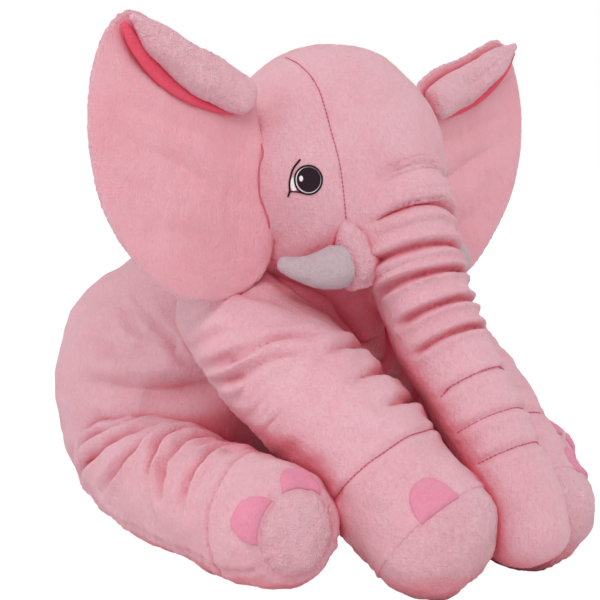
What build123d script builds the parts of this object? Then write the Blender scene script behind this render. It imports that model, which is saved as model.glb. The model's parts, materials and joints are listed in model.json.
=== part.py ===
from build123d import *
from dataclasses import dataclass
import os

# A seated plush elephant: sewn covers over stuffing, with legs, ears, trunk and tail that swing on their
# seams. Millimetres. +Z is up, the elephant faces -Y and its left is +X. The origin is the middle of the
# flat seat. Every soft limb is a body of revolution: a ball at its root seam, a belly and a domed tip.
# A cover is a hollow shell cut along its seams into fabric panels, round a smaller solid of stuffing.

# Fabric, and the room between parts
WALL = 3.0  # plush pile with its backing
STUFFING_INSET = WALL + 0.5  # the stuffing sits just inside the cover
CLEAR = 3.0  # room between soft parts that move past each other
SWING_ROOM = 7.0  # more room where a leg sweeps past the torso and the head
SEAM_GAP = 0.4  # room between sewn panels of one cover
SEAM_RISE = 5  # the long seams of a limb run this far above its middle
PATCH_LIFT = 0.3  # a sewn-on patch sits this far off the cover
PATCH_THICK = 2.0

# Torso: a ball at the rump, standing on a flat seat, leaning up to a ball at the chest
RUMP_RADIUS = 122
SEAT_DEPTH = 6  # how much of the rump ball the flat seat takes away
CHEST = Vector(0, -159, 222)
CHEST_RADIUS = 96
BELLY = (0.45, 130)  # share of the length, radius
BELLY_PANEL_HALF = 62  # half width of the panels between the two side panels
WAIST_HEIGHT = 190  # the back panel is above this and the belly panel below it

# Head
HEAD_CENTRE = Vector(0, -210, 345)
HEAD_RADII = (110, 100, 114)
GUSSET_HALF = 56  # half width of the forehead panel
CHIN_HEIGHT = 298  # the chin panel lies below this
NOD_LIMIT = 8  # the head nods back about the chest ball
TRUNK_LIFT_LIMIT = 20
TRUNK_SWEEP = 30  # the head makes room for the upper trunk down to here
TRUNK_BEND_ROOM = 16  # the upper trunk ends this far before the bend
EYE_PLACE = Vector(90.3, -268, 345.7)
EYE_RADIUS = 11
TUSK_ROOT = Vector(70, -288, 273)
TUSK_TIP = Vector(118, -258, 274)  # the tusks sweep back along the cheeks
TUSK_ROOT_RADIUS = 14
TUSK_TIP_RADIUS = 5
SOCKET_RADIUS = 17
SOCKET_LENGTH = 16

# Ears: layered flaps that swing on their inner edge
EAR_PLANE_Y = -217
EAR_HINGE_X = 117
EAR_SPAN = 282  # how far out the ear reaches
EAR_TOP = 480
EAR_BOTTOM = 242
EAR_FACE_THICK = 4
EAR_WADDING_THICK = 14

# Legs
NAIL_RADIUS = 12
NAIL_SPREAD = 79  # degrees between the two nails of a foot
REAR_FOOT_ROLL = -27  # the rear feet lie rolled outwards by this many degrees
NAIL_TILT = 58  # degrees from the tip of the foot back to a nail
SOLE_SHARE = 0.5  # the sole starts at this share of the tip radius
FRONT_LEG_STATIONS = (0, 48, 96)  # distances down a leg where its neighbours make room for it
REAR_LEG_STATIONS = (0, 45, 90, 135, 180)

# Tail
TUFT_LENGTH = 30


@dataclass
class Limb:
    root: Vector
    tip: Vector
    root_radius: float
    tip_radius: float
    belly: tuple  # share of the length, radius

    @property
    def length(self):
        return (self.tip - self.root).length

    @property
    def axis(self):
        return (self.tip - self.root).normalized()

    @property
    def side(self):
        """The level direction square to the limb."""
        if abs(self.axis.X) < 1e-6:
            return Vector(1, 0, 0)
        return self.axis.cross(Vector(0, 0, 1)).normalized()

    @property
    def top(self):
        """The direction square to the limb that points most nearly up."""
        return self.side.cross(self.axis).normalized()

    def across(self, distance):
        """A plane square to the limb, facing its tip."""
        return Plane(origin=self.root + self.axis * distance, x_dir=self.side, z_dir=self.axis)

    @property
    def seam(self):
        """The plane of the two long side seams, facing up, a little above the middle."""
        return Plane(origin=self.root + self.top * SEAM_RISE, x_dir=self.side, z_dir=self.top)


torso = Limb(Vector(0, 0, RUMP_RADIUS - SEAT_DEPTH), CHEST, RUMP_RADIUS, CHEST_RADIUS, BELLY)
trunk_upper = Limb(Vector(0, -288, 320), Vector(0, -338, 220), 50, 37, (0.5, 44))
trunk_lower = Limb(Vector(0, -345, 210), Vector(0, -440, 52), 34, 27, (0.5, 30))
front_leg = Limb(Vector(88, -174, 230), Vector(66, -376, 53), 55, 52, (0.45, 56))
rear_leg = Limb(Vector(90, -24, 80), Vector(172, -306, 64), 52, 49, (0.4, 54))
tail = Limb(Vector(0, 127, 166), Vector(0, 141, 82), 8, 6, (0.5, 8))
tusk = Limb(TUSK_ROOT, TUSK_TIP, TUSK_ROOT_RADIUS, TUSK_TIP_RADIUS, (0.5, 11))


def limb_solid(limb, inset=0.0):
    """The limb's volume, drawn in by inset."""
    root = limb.root_radius - inset
    tip = limb.tip_radius - inset
    share, radius = limb.belly
    half_plane = Plane(origin=limb.root, x_dir=limb.top, z_dir=limb.top.cross(limb.axis))
    with BuildPart() as volume:
        with BuildSketch(half_plane):
            with BuildLine():
                CenterArc((0, 0), root, -90, 90)
                Spline(
                    (root, 0),
                    (radius - inset, share * limb.length),
                    (tip, limb.length),
                    tangents=((0, 1), (0, 1)),
                )
                CenterArc((0, limb.length), tip, 0, 90)
                Line((0, limb.length + tip), (0, -root))
            make_face()
        revolve(axis=Axis(limb.root, limb.axis))
    return volume.part


def ball(centre, radius):
    with BuildPart() as sphere:
        with Locations(centre):
            Sphere(radius=radius)
    return sphere.part


def mirrored(solid):
    return mirror(solid, about=Plane.YZ)


def turned(solid, centre, direction, angle):
    """The solid after a turn about a line through centre."""
    return solid.rotate(Axis(centre, direction), angle)


def cut_by(solid, tools):
    with BuildPart() as remainder:
        add(solid)
        for tool in tools:
            add(tool, mode=Mode.SUBTRACT)
    return remainder.part


def kept(solid, *planes):
    """What is left of the solid on the side that each plane faces."""
    with BuildPart() as piece:
        add(solid)
        for plane in planes:
            split(bisect_by=plane, keep=Keep.TOP)
    return piece.part


def beyond_x(x):
    """Faces +X, half a seam gap outside x."""
    return Plane(origin=(x + SEAM_GAP / 2, 0, 0), x_dir=(0, 1, 0), z_dir=(1, 0, 0))


def within_x(x):
    return Plane(origin=(x - SEAM_GAP / 2, 0, 0), x_dir=(0, 1, 0), z_dir=(-1, 0, 0))


def above_z(z):
    return Plane(origin=(0, 0, z + SEAM_GAP / 2), x_dir=(1, 0, 0), z_dir=(0, 0, 1))


def below_z(z):
    return Plane(origin=(0, 0, z - SEAM_GAP / 2), x_dir=(1, 0, 0), z_dir=(0, 0, -1))


def reversed_plane(plane, gap=SEAM_GAP):
    return Plane(origin=plane.origin - plane.z_dir * gap, x_dir=plane.x_dir, z_dir=-plane.z_dir)


def save(name, solid):
    """Labels a finished piece and writes it under its name."""
    with BuildPart() as piece:
        add(solid)
    piece.part.label = name
    export_step(piece.part, f"parts/{name}.step")


def save_pair(name, solid):
    """Writes the left piece, and its mirror image as the right piece."""
    save(name.replace("SIDE", "left"), solid)
    save(name.replace("SIDE", "right"), mirrored(solid))


def upper_trunk_solid(inset=0.0):
    """The upper trunk, open at its end for the ball of the lower trunk and its bend."""
    end = reversed_plane(trunk_lower.across(-TRUNK_BEND_ROOM), inset)
    lower_ball = ball(trunk_lower.root, trunk_lower.root_radius + CLEAR + inset)
    return kept(cut_by(limb_solid(trunk_upper, inset), [lower_ball]), end)


def trunk_length(name, limb, outer, inner, stuffing):
    """The front panel, under panel and stuffing of one length of trunk."""
    with BuildPart() as cover:
        add(outer)
        add(inner, mode=Mode.SUBTRACT)
    save(f"{name}_front_panel", kept(cover.part, limb.seam))
    save(f"{name}_under_panel", kept(cover.part, reversed_plane(limb.seam)))
    save(f"{name}_stuffing", stuffing)


def leg_body(name, limb, foot_roll=0):
    """Cover halves, sole, nails and stuffing of a leg."""
    with BuildPart() as cover:
        add(limb_solid(limb))
        add(limb_solid(limb, WALL), mode=Mode.SUBTRACT)
    toe_seam = limb.across(limb.length + SOLE_SHARE * limb.tip_radius)
    behind_toe = reversed_plane(toe_seam)
    save_pair(f"{name}_SIDE_upper_panel", kept(cover.part, behind_toe, limb.seam))
    under = reversed_plane(limb.seam)
    save_pair(f"{name}_SIDE_under_panel", kept(cover.part, behind_toe, under))
    save_pair(f"{name}_SIDE_sole", kept(cover.part, toe_seam))
    save_pair(f"{name}_SIDE_stuffing", limb_solid(limb, STUFFING_INSET))
    save_pair(f"{name}_SIDE_nails", leg_nails(limb, foot_roll))


def leg_nails(limb, foot_roll):
    """Two round patches on the upper edge of the foot."""
    with BuildPart() as nails:
        for around in (foot_roll - NAIL_SPREAD / 2, foot_roll + NAIL_SPREAD / 2):
            outward = limb.top.rotate(Axis((0, 0, 0), limb.axis), around)
            facing = limb.axis.rotate(Axis((0, 0, 0), limb.axis.cross(outward)), NAIL_TILT)
            centre = limb.tip + facing * (limb.tip_radius + PATCH_LIFT)
            with BuildSketch(Plane(origin=centre, z_dir=facing)):
                Circle(NAIL_RADIUS)
            extrude(amount=PATCH_THICK)
    return nails.part


def balls_along(limb, distances, extra):
    """Balls on the limb's axis, a little wider than its belly, with their mirror images."""
    balls = []
    for distance in distances:
        centre = limb.root + limb.axis * distance
        radius = limb.root_radius if distance == 0 else limb.belly[1]
        for side in (1, -1):
            balls.append(ball((side * centre.X, centre.Y, centre.Z), radius + extra))
    return balls


def head_egg(inset=0.0):
    """The head's ellipsoid, drawn in by inset."""
    with BuildPart() as egg:
        Sphere(radius=1)
        scale(by=tuple(radius - inset for radius in HEAD_RADII))
    return Pos(*HEAD_CENTRE) * egg.part


def head_solid(inset=0.0):
    """The head, without what the chest, the front legs and the trunk need."""
    room = inset + CLEAR
    belly_centre = torso.root + torso.axis * torso.belly[0] * torso.length
    belly_ball = ball(belly_centre, torso.belly[1] + room)
    tools = [ball(CHEST, CHEST_RADIUS + room), belly_ball, turned(belly_ball, CHEST, (1, 0, 0), NOD_LIMIT)]
    tools += balls_along(front_leg, FRONT_LEG_STATIONS[:1], room + SWING_ROOM)
    tools += balls_along(front_leg, FRONT_LEG_STATIONS[1:2], room + 2 * SWING_ROOM)
    for angle in (0, -TRUNK_LIFT_LIMIT):
        along_trunk = trunk_upper.axis.rotate(Axis.X, angle)
        tools.append(ball(trunk_upper.root + along_trunk * TRUNK_SWEEP, trunk_upper.root_radius + room))
    tools.append(ball(trunk_upper.root, trunk_upper.root_radius + room))
    return cut_by(head_egg(inset), tools)


def torso_solid(inset=0.0):
    """The torso, without what the legs and the tail need, on its flat seat."""
    room = inset + CLEAR
    tools = [ball(tail.root, tail.root_radius + room)]
    tools += balls_along(front_leg, FRONT_LEG_STATIONS, room + SWING_ROOM)
    tools += balls_along(rear_leg, REAR_LEG_STATIONS, room + SWING_ROOM)
    seat = Plane(origin=(0, 0, inset), x_dir=(1, 0, 0), z_dir=(0, 0, 1))
    return kept(cut_by(limb_solid(torso, inset), tools), seat)


def ear_layer(front, back):
    """A slice of the left ear between two depths, measured from the ear's middle plane towards -Y."""
    with BuildPart() as layer:
        with BuildSketch(Plane(origin=(0, EAR_PLANE_Y - back, 0), x_dir=(1, 0, 0), z_dir=(0, -1, 0))):
            with BuildLine():
                Spline(
                    (EAR_HINGE_X, 428),
                    (186, 460),
                    (244, EAR_TOP),
                    (EAR_SPAN - 8, 448),
                    (EAR_SPAN, 370),
                    (EAR_SPAN - 16, 302),
                    (238, 255),
                    (190, EAR_BOTTOM),
                    (142, 268),
                    (EAR_HINGE_X, 318),
                )
                Line((EAR_HINGE_X, 318), (EAR_HINGE_X, 428))
            make_face()
        extrude(amount=front - back)
    return layer.part


def middle_strip(solid, half_width):
    """The part of the solid between two side seams."""
    right_seam = beyond_x(-half_width)
    return kept(solid, within_x(half_width), right_seam)


os.makedirs("parts", exist_ok=True)

# Torso
with BuildPart() as torso_cover:
    add(torso_solid())
    add(torso_solid(WALL), mode=Mode.SUBTRACT)
torso_middle = middle_strip(torso_cover.part, BELLY_PANEL_HALF)
save_pair("torso_side_SIDE", kept(torso_cover.part, beyond_x(BELLY_PANEL_HALF)))
save("torso_back_panel", kept(torso_middle, above_z(WAIST_HEIGHT)))
save("torso_belly_panel", kept(torso_middle, below_z(WAIST_HEIGHT)))
save("torso_stuffing", torso_solid(STUFFING_INSET))

# Head
with BuildPart() as head_cover:
    add(head_solid())
    add(head_solid(WALL), mode=Mode.SUBTRACT)
head_middle = middle_strip(head_cover.part, GUSSET_HALF)
save_pair("head_side_SIDE", kept(head_cover.part, beyond_x(GUSSET_HALF)))
save("head_gusset", kept(head_middle, above_z(CHIN_HEIGHT)))
save("head_chin", kept(head_middle, below_z(CHIN_HEIGHT)))
save("head_stuffing", head_solid(STUFFING_INSET))

# Eyes: stitched discs square to the cheek
eye_from_centre = EYE_PLACE - HEAD_CENTRE
eye_facing = Vector(*(part / radius**2 for part, radius in zip(eye_from_centre, HEAD_RADII))).normalized()
with BuildPart() as eye:
    with BuildSketch(Plane(origin=EYE_PLACE + eye_facing * PATCH_LIFT, z_dir=eye_facing)):
        Circle(EYE_RADIUS)
    extrude(amount=PATCH_THICK)
save_pair("eye_SIDE", eye.part)

# Tusks and the collars that hold them
with BuildPart() as socket:
    with BuildSketch(tusk.across(-SOCKET_LENGTH / 2)):
        Circle(SOCKET_RADIUS)
        Circle(TUSK_ROOT_RADIUS + SEAM_GAP, mode=Mode.SUBTRACT)
    extrude(amount=SOCKET_LENGTH)
save_pair("tusk_SIDE", cut_by(limb_solid(tusk), [head_egg(-SEAM_GAP)]))
save_pair("tusk_socket_SIDE", cut_by(socket.part, [head_egg(-SEAM_GAP)]))

# Trunk, in two lengths that meet at a seam
trunk_length(
    "trunk_upper",
    trunk_upper,
    upper_trunk_solid(),
    upper_trunk_solid(WALL),
    upper_trunk_solid(STUFFING_INSET),
)
trunk_length(
    "trunk_lower",
    trunk_lower,
    limb_solid(trunk_lower),
    limb_solid(trunk_lower, WALL),
    limb_solid(trunk_lower, STUFFING_INSET),
)

# Ears: face, wadding and back
half_wadding = EAR_WADDING_THICK / 2
save_pair("ear_SIDE_wadding", ear_layer(half_wadding, -half_wadding))
save_pair("ear_SIDE_face", ear_layer(half_wadding + SEAM_GAP + EAR_FACE_THICK, half_wadding + SEAM_GAP))
save_pair("ear_SIDE_back", ear_layer(-half_wadding - SEAM_GAP, -half_wadding - SEAM_GAP - EAR_FACE_THICK))

# Legs
leg_body("front_leg", front_leg)
leg_body("rear_leg", rear_leg, REAR_FOOT_ROLL)

# Tail: a cord of plush that ends in a tuft
tuft_seam = tail.across(tail.length - TUFT_LENGTH)
save("tail_cord", kept(limb_solid(tail), reversed_plane(tuft_seam)))
with BuildPart() as tuft:
    with BuildSketch(tuft_seam):
        Circle(tail.tip_radius)
    with BuildSketch(tail.across(tail.length)):
        Circle(2 * tail.tip_radius)
    loft()
save("tail_tuft", tuft.part)
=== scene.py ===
"""The looks of a seated plush elephant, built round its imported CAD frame.

Lengths are written in millimetres and turned into metres when a mesh is made. The elephant faces -Y, its left
is +X. Left pieces are built first, and right pieces are their mirror images. Every soft form is a grid or a
remeshed lump whose points are moved along their normals by folds, gathers, seams and soft lumps.
"""

import json
import math

import bmesh
import bpy
import numpy as np
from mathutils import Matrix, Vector
from mathutils.bvhtree import BVHTree
from mathutils.kdtree import KDTree

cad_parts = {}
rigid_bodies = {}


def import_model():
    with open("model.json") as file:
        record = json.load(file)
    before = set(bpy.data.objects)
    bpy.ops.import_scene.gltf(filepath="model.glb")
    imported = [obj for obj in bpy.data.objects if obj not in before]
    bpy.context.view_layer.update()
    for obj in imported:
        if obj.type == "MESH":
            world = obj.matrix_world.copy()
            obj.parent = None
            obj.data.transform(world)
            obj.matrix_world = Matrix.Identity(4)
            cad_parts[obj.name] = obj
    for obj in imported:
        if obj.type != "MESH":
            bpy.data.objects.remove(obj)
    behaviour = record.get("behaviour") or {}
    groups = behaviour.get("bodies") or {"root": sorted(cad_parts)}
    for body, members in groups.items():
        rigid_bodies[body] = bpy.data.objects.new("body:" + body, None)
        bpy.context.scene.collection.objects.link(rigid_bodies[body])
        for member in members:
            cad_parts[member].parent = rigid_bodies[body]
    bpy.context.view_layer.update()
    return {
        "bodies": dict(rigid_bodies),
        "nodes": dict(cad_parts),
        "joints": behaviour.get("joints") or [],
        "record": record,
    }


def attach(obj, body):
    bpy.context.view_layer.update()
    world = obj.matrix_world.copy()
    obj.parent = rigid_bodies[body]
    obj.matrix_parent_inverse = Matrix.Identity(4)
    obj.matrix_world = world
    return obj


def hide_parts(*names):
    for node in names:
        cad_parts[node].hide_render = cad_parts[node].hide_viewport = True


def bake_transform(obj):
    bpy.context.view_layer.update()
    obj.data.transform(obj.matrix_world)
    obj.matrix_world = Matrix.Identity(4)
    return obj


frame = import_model()

MM = 0.001
SIDES = {"left": 1, "right": -1}
JOINTS = {joint["name"]: np.array(joint["pos_m"]) / MM for joint in frame["joints"] if joint.get("pos_m")}


# Curves and grids


def smooth_rows(rows, count):
    """Rows of numbers run through by a Catmull-Rom curve, at count even steps of its length."""
    rows = np.array(rows, float)
    ends = [2 * rows[0] - rows[1], *rows, 2 * rows[-1] - rows[-2]]
    dense = []
    for a, b, c, d in zip(ends, ends[1:], ends[2:], ends[3:]):
        t = np.linspace(0, 1, 24, endpoint=False)[:, None]
        dense.append(0.5 * (2 * b + (c - a) * t + (2 * a - 5 * b + 4 * c - d) * t**2 + (3 * b - a - 3 * c + d) * t**3))
    dense = np.vstack([*dense, rows[-1:]])
    steps = np.linalg.norm(np.diff(dense[:, :3], axis=0), axis=1)
    length = np.concatenate([[0], np.cumsum(steps)])
    even = np.linspace(0, length[-1], count)
    return np.stack([np.interp(even, length, column) for column in dense.T], axis=1), even


def unit(vectors):
    return vectors / np.maximum(np.linalg.norm(vectors, axis=-1, keepdims=True), 1e-9)


def crease_shape(gap, width, ridge):
    """The cross-section of a sewn or pressed crease: a narrow valley between two soft rolls."""
    valley = np.exp(-((gap / width) ** 1.35))
    rolls = np.exp(-(((gap - 2.3 * width) / (1.5 * width)) ** 2))
    return ridge * rolls - valley


def line_gap(points, curve):
    """Each point's distance from a curve, and its share of the way along it."""
    best = np.full(len(points), 1e9)
    share = np.zeros(len(points))
    for index, (start, end) in enumerate(zip(curve, curve[1:])):
        step = end - start
        place = np.clip((points - start) @ step / max(step @ step, 1e-9), 0, 1)
        gap = np.linalg.norm(points - start - place[:, None] * step, axis=1)
        nearer = gap < best
        best = np.where(nearer, gap, best)
        share = np.where(nearer, (index + place) / (len(curve) - 1), share)
    return best, share


def end_fade(share, fades):
    """Falls to nothing at both ends of a crease, or stays full."""
    return np.sin(np.pi * np.clip(share, 0.02, 0.98)) ** 0.5 if fades else 1.0


DOME_BLUNTNESS = 0.85


class Tube:
    """A grid of rings along a curve, closed by domes. Rows are (x, y, z, half width, half height)."""

    def __init__(self, rows, up, dome_start, dome_end, step=1.8, grow=0.0, start_at=0.0):
        spine, along = smooth_rows(rows, max(8, int(self.length_of(rows) / step)))
        spine[:, 3:] += grow
        centre, radii = spine[:, :3], spine[:, 3:]
        tangent = unit(np.gradient(centre, axis=0))
        turn = np.linspace(0, math.pi / 2, 18)[1:]
        start = centre[0] - np.outer(np.sin(turn[::-1]) * (dome_start + grow), tangent[0])
        end = centre[-1] + np.outer(np.sin(turn) * (dome_end + grow), tangent[-1])
        narrow = np.maximum(np.cos(turn) ** DOME_BLUNTNESS, 0.004)[:, None]
        self.centre = np.vstack([start, centre, end])
        self.radii = np.vstack([radii[0] * narrow[::-1], radii, radii[-1] * narrow])
        tangent = np.vstack([np.repeat(tangent[:1], 17, 0), tangent, np.repeat(tangent[-1:], 17, 0)])
        self.side = unit(np.cross(tangent, np.array(up, float)))
        self.up = np.cross(self.side, tangent)
        before, after = -np.sin(turn[::-1]) * dome_start, along[-1] + np.sin(turn) * dome_end
        self.along = np.concatenate([before, along, after]) + start_at
        self.length = along[-1]
        around = int(2 * math.pi * radii.max() / step)
        self.angle = np.linspace(0, 2 * math.pi, around, endpoint=False)
        self.points = self.ring_points()
        self.shift = np.zeros(self.points.shape[:2])

    @staticmethod
    def length_of(rows):
        points = np.array(rows, float)[:, :3]
        return np.linalg.norm(np.diff(points, axis=0), axis=1).sum()

    def ring_points(self):
        across = np.sin(self.angle)[None, :, None] * self.side[:, None] * self.radii[:, None, :1]
        upward = np.cos(self.angle)[None, :, None] * self.up[:, None] * self.radii[:, None, 1:]
        return self.centre[:, None] + across + upward

    def flat_metric(self):
        """Degrees round from the top, and distance along, of each point."""
        degrees = (np.degrees(self.angle) + 180) % 360 - 180
        return np.meshgrid(degrees, self.along)

    def fold(self, line, depth, width, ridge=0.4, fades=True):
        """Presses a crease along a line of (degrees, distance along) points."""
        degrees, along = self.flat_metric()
        radius = self.radii.mean(axis=1)[:, None]
        curve = smooth_rows([(angle, place, 0) for angle, place in line], 26)[0][:, :2]
        middle = curve[:, 0].mean()
        round_by = np.radians((degrees - middle + 180) % 360 - 180) * radius
        flat = np.stack([round_by, along * np.ones_like(round_by)], axis=-1).reshape(-1, 2)
        mean_radius = np.interp(curve[:, 1], self.along, self.radii.mean(axis=1))
        curve[:, 0] = np.radians(curve[:, 0] - middle) * mean_radius
        gap, share = line_gap(flat, curve)
        press = end_fade(share, fades) * depth * crease_shape(gap, width, ridge)
        self.shift += press.reshape(self.shift.shape)

    def spot(self, angle, along):
        """The point on the plain tube at degrees round from the top and a distance along."""
        row = int(np.argmin(np.abs(self.along - along)))
        turn = math.radians(angle)
        across = self.side[row] * math.sin(turn) * self.radii[row, 0]
        return self.centre[row] + across + self.up[row] * math.cos(turn) * self.radii[row, 1]

    def arc_length(self):
        """The distance over the surface to each ring, down the mean outline."""
        outline = np.stack([self.along, self.radii.mean(axis=1)], axis=1)
        return np.concatenate([[0], np.cumsum(np.linalg.norm(np.diff(outline, axis=0), axis=1))])

    def normals(self):
        by_angle = np.roll(self.points, -1, 1) - np.roll(self.points, 1, 1)
        by_length = np.gradient(self.points, axis=0)
        outward = unit(np.cross(by_angle, by_length))
        facing = np.sign(np.sum(outward * (self.points - self.centre[:, None]), axis=2, keepdims=True))
        return outward * np.where(facing == 0, 1, facing)

    def settle(self):
        """Applies the shifts gathered so far."""
        self.points = self.points + self.normals() * self.shift[:, :, None]
        self.shift[:] = 0

    def faces(self):
        rings, around = self.points.shape[:2]
        quads = []
        index = np.arange(rings * around).reshape(rings, around)
        right = np.roll(index, -1, axis=1)
        quads = np.stack([index[:-1], right[:-1], right[1:], index[1:]], axis=-1).reshape(-1, 4)
        caps = [index[0][::-1].tolist(), index[-1].tolist()]
        return quads.tolist() + caps


def lumps(points, wavelength, seed, waves=14):
    """Smooth repeatable noise between about -1 and 1."""
    random = np.random.default_rng(seed)
    total = np.zeros(points.shape[:-1])
    for _ in range(waves):
        direction = unit(random.normal(size=3))
        rate = 2 * math.pi / (wavelength * random.uniform(0.7, 1.5))
        total += np.sin(points @ direction * rate + random.uniform(0, 2 * math.pi))
    return total / math.sqrt(waves)


# Mesh objects


SHARP_ANGLE = math.radians(70)


def make_object(name, points, faces, material, smooth=True):
    mesh = bpy.data.meshes.new(name)
    mesh.from_pydata((np.asarray(points).reshape(-1, 3) * MM).tolist(), [], faces)
    mesh.validate()
    piece = bpy.data.objects.new(name, mesh)
    bpy.context.scene.collection.objects.link(piece)
    tidy = bmesh.new()
    tidy.from_mesh(mesh)
    bmesh.ops.recalc_face_normals(tidy, faces=tidy.faces)
    tidy.to_mesh(mesh)
    tidy.free()
    mesh.materials.append(material)
    if smooth:
        mesh.shade_smooth()
        mesh.set_sharp_from_angle(angle=SHARP_ANGLE)
    return piece


def mirrored(points, side):
    """The points, flipped to the right side when side is -1."""
    return np.asarray(points) * np.array([side, 1, 1])


def finish_piece(piece, body, nodes=()):
    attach(piece, body)
    if nodes:
        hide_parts(*nodes)
    return piece


def apply_modifiers(piece):
    graph = bpy.context.evaluated_depsgraph_get()
    mesh = bpy.data.meshes.new_from_object(piece.evaluated_get(graph))
    piece.modifiers.clear()
    piece.data = mesh
    return piece


# Materials


def linear(red, green, blue):
    """A colour given as 8-bit sRGB."""
    return tuple((c / 255 / 12.92) if c <= 10 else ((c / 255 + 0.055) / 1.055) ** 2.4 for c in (red, green, blue)) + (1,)


PINK = linear(240, 175, 190)
# The DEEP colours are the painted shade and painted glow of hollows and folds, and a little random tone in the pile.
PINK_DEEP = linear(214, 44, 76)
PINK_PALE = linear(248, 214, 220)
EAR_PINK = linear(248, 174, 188)
EAR_DEEP = linear(230, 70, 98)
NAIL_PINK = linear(234, 144, 172)


def plush(name, base, deep, pale, pile=0.55, grain=1050.0, crease=0.05):
    """Brushed pile: mottled tufts and streaks down the nap, with a painted sheen (paler at grazing angles), painted
    shade (deeper colour in hollows and folds) and a painted glow in the hollows.
    """
    material = bpy.data.materials.new(name)
    material.use_nodes = True
    nodes, links = material.node_tree.nodes, material.node_tree.links
    shader = nodes["Principled BSDF"]
    place = nodes.new("ShaderNodeTexCoord")

    def spread(value, low, high, start=0.0, end=1.0):
        ramp = nodes.new("ShaderNodeMapRange")
        ramp.interpolation_type = "SMOOTHSTEP"
        for socket, number in (("From Min", low), ("From Max", high), ("To Min", start), ("To Max", end)):
            ramp.inputs[socket].default_value = number
        links.new(value, ramp.inputs["Value"])
        return ramp.outputs["Result"]

    def noise(scale, detail, stretch=1.0):
        aim = nodes.new("ShaderNodeMapping")
        aim.inputs["Scale"].default_value = (1, 1, stretch)
        links.new(place.outputs["Object"], aim.inputs["Vector"])
        texture = nodes.new("ShaderNodeTexNoise")
        texture.inputs["Scale"].default_value = scale
        texture.inputs["Detail"].default_value = detail
        texture.inputs["Roughness"].default_value = 0.6
        links.new(aim.outputs["Vector"], texture.inputs["Vector"])
        return spread(texture.outputs["Fac"], 0.3, 0.7)

    def math_node(operation, first, second):
        node = nodes.new("ShaderNodeMath")
        node.operation = operation
        for socket, value in zip(node.inputs, (first, second)):
            if isinstance(value, float):
                socket.default_value = value
            else:
                links.new(value, socket)
        return node.outputs[0]

    def mix(factor, first, second, amount):
        blend = nodes.new("ShaderNodeMix")
        blend.data_type = "RGBA"
        for socket, value in (("A", first), ("B", second)):
            slot = next(i for i in blend.inputs if i.name == socket and i.type == "RGBA")
            if isinstance(value, tuple):
                slot.default_value = value
            else:
                links.new(value, slot)
        links.new(math_node("MULTIPLY", factor, amount), blend.inputs["Factor"])
        return next(o for o in blend.outputs if o.type == "RGBA")

    def hollow(distance):
        shade = nodes.new("ShaderNodeAmbientOcclusion")
        shade.inputs["Distance"].default_value = distance
        shade.samples = 8
        return shade.outputs["AO"]

    tufts = noise(grain * 0.3, 3)
    fibres = noise(grain, 2)
    nap = noise(grain * 0.45, 3, stretch=0.12)
    cloud = noise(16, 2)
    rim = nodes.new("ShaderNodeLayerWeight")
    rim.inputs["Blend"].default_value = 0.25
    # Painted shade: ambient occlusion masks, reaching as far as crease, pull the colour towards deep and SHADE in
    # hollows, creases and folds.
    openness = hollow(crease)
    painted_hollow_shade = spread(openness, 0.1, 0.85, 1.0, 0.0)
    painted_deepest_shade = spread(openness, 0.0, 0.4, 1.0, 0.0)
    painted_fold_shade = spread(hollow(0.009), 0.1, 0.7, 1.0, 0.0)
    colour = mix(tufts, base, pale, 0.32)
    colour = mix(nap, colour, pale, 0.25)
    # The cloud mix is a random tone; the three mixes after it are the painted shade.
    colour = mix(cloud, colour, deep, 0.12)
    colour = mix(painted_hollow_shade, colour, deep, 0.85)
    colour = mix(painted_deepest_shade, colour, SHADE, 0.6)
    colour = mix(painted_fold_shade, colour, deep, 0.6)
    # Painted sheen: the colour turns paler where the surface is seen at grazing angles.
    colour = mix(rim.outputs["Facing"], colour, pale, 0.30)
    links.new(colour, shader.inputs["Base Color"])
    # Painted glow: the hollows emit the deep colour, standing in for light bounced between the pink surfaces.
    shader.inputs["Emission Color"].default_value = deep
    glow = math_node("MULTIPLY", math_node("SUBTRACT", painted_hollow_shade, painted_deepest_shade), PAINTED_HOLLOW_GLOW)
    links.new(glow, shader.inputs["Emission Strength"])
    shader.inputs["Roughness"].default_value = 0.95
    shader.inputs["Sheen Weight"].default_value = 0.5 * pile
    shader.inputs["Sheen Roughness"].default_value = 0.5
    shader.inputs["Sheen Tint"].default_value = pale
    shader.inputs["Specular IOR Level"].default_value = 0.1
    bump = nodes.new("ShaderNodeBump")
    bump.inputs["Strength"].default_value = 0.7
    bump.inputs["Distance"].default_value = 0.0022 * pile
    links.new(math_node("ADD", math_node("ADD", tufts, fibres), nap), bump.inputs["Height"])
    links.new(bump.outputs["Normal"], shader.inputs["Normal"])
    return material
# Strength of the painted glow in the hollows.
PAINTED_HOLLOW_GLOW = 0.2
# SHADE is the painted shade colour mixed into the deepest hollows.
SHADE = linear(128, 18, 40)


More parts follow.
